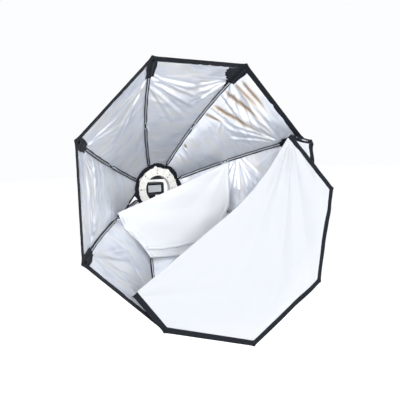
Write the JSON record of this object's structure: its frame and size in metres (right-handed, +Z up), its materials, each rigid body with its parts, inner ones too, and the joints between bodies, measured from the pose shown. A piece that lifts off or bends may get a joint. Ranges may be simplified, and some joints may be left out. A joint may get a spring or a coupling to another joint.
{
  "type": "studio softbox",
  "caption": "Octagonal folding-fabric light modifier with silver lining, spring rods, speedring, two white diffusers and a tilting flash bracket.",
  "frame": {"origin": "centre of the stand socket's mouth, on the stand's axis", "axes": "+Z up the stand's axis, the softbox opens towards -Y, +X to the right seen from in front of -Y looking along +Y"},
  "size_m": [0.9524, 0.5746, 0.9472],
  "materials": {
    "silver_skin": "silver coated nylon inside, black outside",
    "black_tape": "black nylon binding",
    "white_diffuser": "translucent white polyester",
    "ivory_coat": "ivory enamel, satin",
    "rod_steel": "drawn spring steel",
    "steel": "zinc plated",
    "black_steel": "black powder coat",
    "cast_black": "black die-cast, textured",
    "black_plastic": "fine spark-eroded texture",
    "gloss_black": "smooth",
    "nylon_washer": "natural nylon",
    "lens_clear": "ribbed clear panel",
    "reflector_metal": "polished aluminium",
    "tube_glass": "flash tube",
    "cell_wrap": "plain battery sleeve"
  },
  "bodies": {
    "stand_adapter": {"stand_socket": "cast_black", "tilt_nut": "steel"},
    "stand_clamp": {"stand_clamp_stud": "steel", "stand_clamp_wing": "cast_black"},
    "tilt_clamp": {"tilt_lever": "gloss_black", "tilt_bolt": "steel"},
    "bracket": {"tilt_knuckle": "cast_black", "friction_washers": "nylon_washer", "bracket_arm": "black_steel", "arm_screws": "steel", "rear_plate": "black_steel", "flange_screws": "steel", "flange_standoffs": "steel", "rotation_flange": "black_steel"},
    "ring_lock": {"ring_lock_screw": "black_plastic"},
    "softbox": {"speedring": "ivory_coat", "snap_ring": "steel", "rod_ferrules": "steel", "rib_1": "rod_steel", "rib_2": "rod_steel", "rib_3": "rod_steel", "rib_4": "rod_steel", "rib_5": "rod_steel", "rib_6": "rod_steel", "rib_7": "rod_steel", "rib_8": "rod_steel", "side_panel_1": "silver_skin", "side_panel_2": "silver_skin", "side_panel_3": "silver_skin", "side_panel_4": "silver_skin", "side_panel_5": "silver_skin", "side_panel_6": "silver_skin", "side_panel_7": "silver_skin", "side_panel_8": "silver_skin", "rib_tips": "black_plastic", "access_binding": "black_tape", "rim_binding": "black_tape", "corner_pockets": "black_tape", "rod_loops": "black_tape", "hub_collar": "black_tape", "diffuser_tabs": "white_diffuser"},
    "inner_screen": {"inner_diffuser": "white_diffuser"},
    "front_screen": {"front_diffuser_sheet": "white_diffuser", "front_diffuser_binding": "black_tape"},
    "shoe": {"shoe_saddle": "cast_black", "cold_shoe": "black_steel"},
    "shoe_clamp": {"shoe_clamp_screw": "black_plastic"},
    "flash": {"flash_foot": "black_plastic", "flash_body_front": "black_plastic", "flash_body_rear": "black_plastic", "battery_cells": "cell_wrap", "flash_capacitor": "gloss_black", "flash_turret": "black_plastic"},
    "foot_lock": {"foot_wheel": "black_plastic"},
    "flash_button": {"test_button": "gloss_black"},
    "flash_head": {"flash_head_shell": "black_plastic", "head_hinge_pin": "steel", "flash_window": "lens_clear", "flash_reflector": "reflector_metal", "flash_tube": "tube_glass"}
  },
  "joints": [
    {"name": "tilt", "type": "hinge", "parent": "stand_adapter", "child": "bracket", "pos_m": [0, 0, 0.08], "axis": [1, 0, 0], "range_deg": [-90, 55]},
    {"name": "tilt_lever_turn", "type": "hinge", "parent": "stand_adapter", "child": "tilt_clamp", "pos_m": [0, 0, 0.08], "axis": [1, 0, 0], "range_deg": [-60, 60]},
    {"name": "stand_clamp_turn", "type": "hinge", "parent": "stand_adapter", "child": "stand_clamp", "pos_m": [0, 0, 0.022], "axis": [1, 0, 0], "continuous": true},
    {"name": "softbox_turn", "type": "hinge", "parent": "bracket", "child": "softbox", "pos_m": [0, -0.064, 0.265], "axis": [0, -1, 0], "continuous": true},
    {"name": "ring_lock_turn", "type": "hinge", "parent": "bracket", "child": "ring_lock", "pos_m": [0.0735, -0.064, 0.265], "axis": [0, 1, 0], "continuous": true},
    {"name": "inner_screen_lift", "type": "slide", "parent": "softbox", "child": "inner_screen", "axis": [0, -1, 0], "range_m": [0, 0.16]},
    {"name": "front_screen_lift", "type": "slide", "parent": "softbox", "child": "front_screen", "axis": [0, -1, 0], "range_m": [0, 0.2]},
    {"name": "shoe_slide", "type": "slide", "parent": "bracket", "child": "shoe", "axis": [0, 1, 0], "range_m": [0, 0.05]},
    {"name": "shoe_clamp_turn", "type": "hinge", "parent": "shoe", "child": "shoe_clamp", "pos_m": [-0.03, 0.018, 0.1035], "axis": [1, 0, 0], "continuous": true},
    {"name": "flash_slide", "type": "slide", "parent": "shoe", "child": "flash", "axis": [0, 1, 0], "range_m": [0, 0.022]},
    {"name": "foot_wheel_turn", "type": "hinge", "parent": "flash", "child": "foot_lock", "pos_m": [0, 0.018, 0.12], "axis": [0, 0, 1], "range_deg": [-90, 90]},
    {"name": "test_button_press", "type": "slide", "parent": "flash", "child": "flash_button", "axis": [0, -1, 0], "range_m": [0, 0.0012], "stiffness_N_per_m": 600},
    {"name": "flash_head_tilt", "type": "hinge", "parent": "flash", "child": "flash_head", "pos_m": [0, 0.025, 0.251], "axis": [1, 0, 0], "range_deg": [-90, 0]}
  ]
}
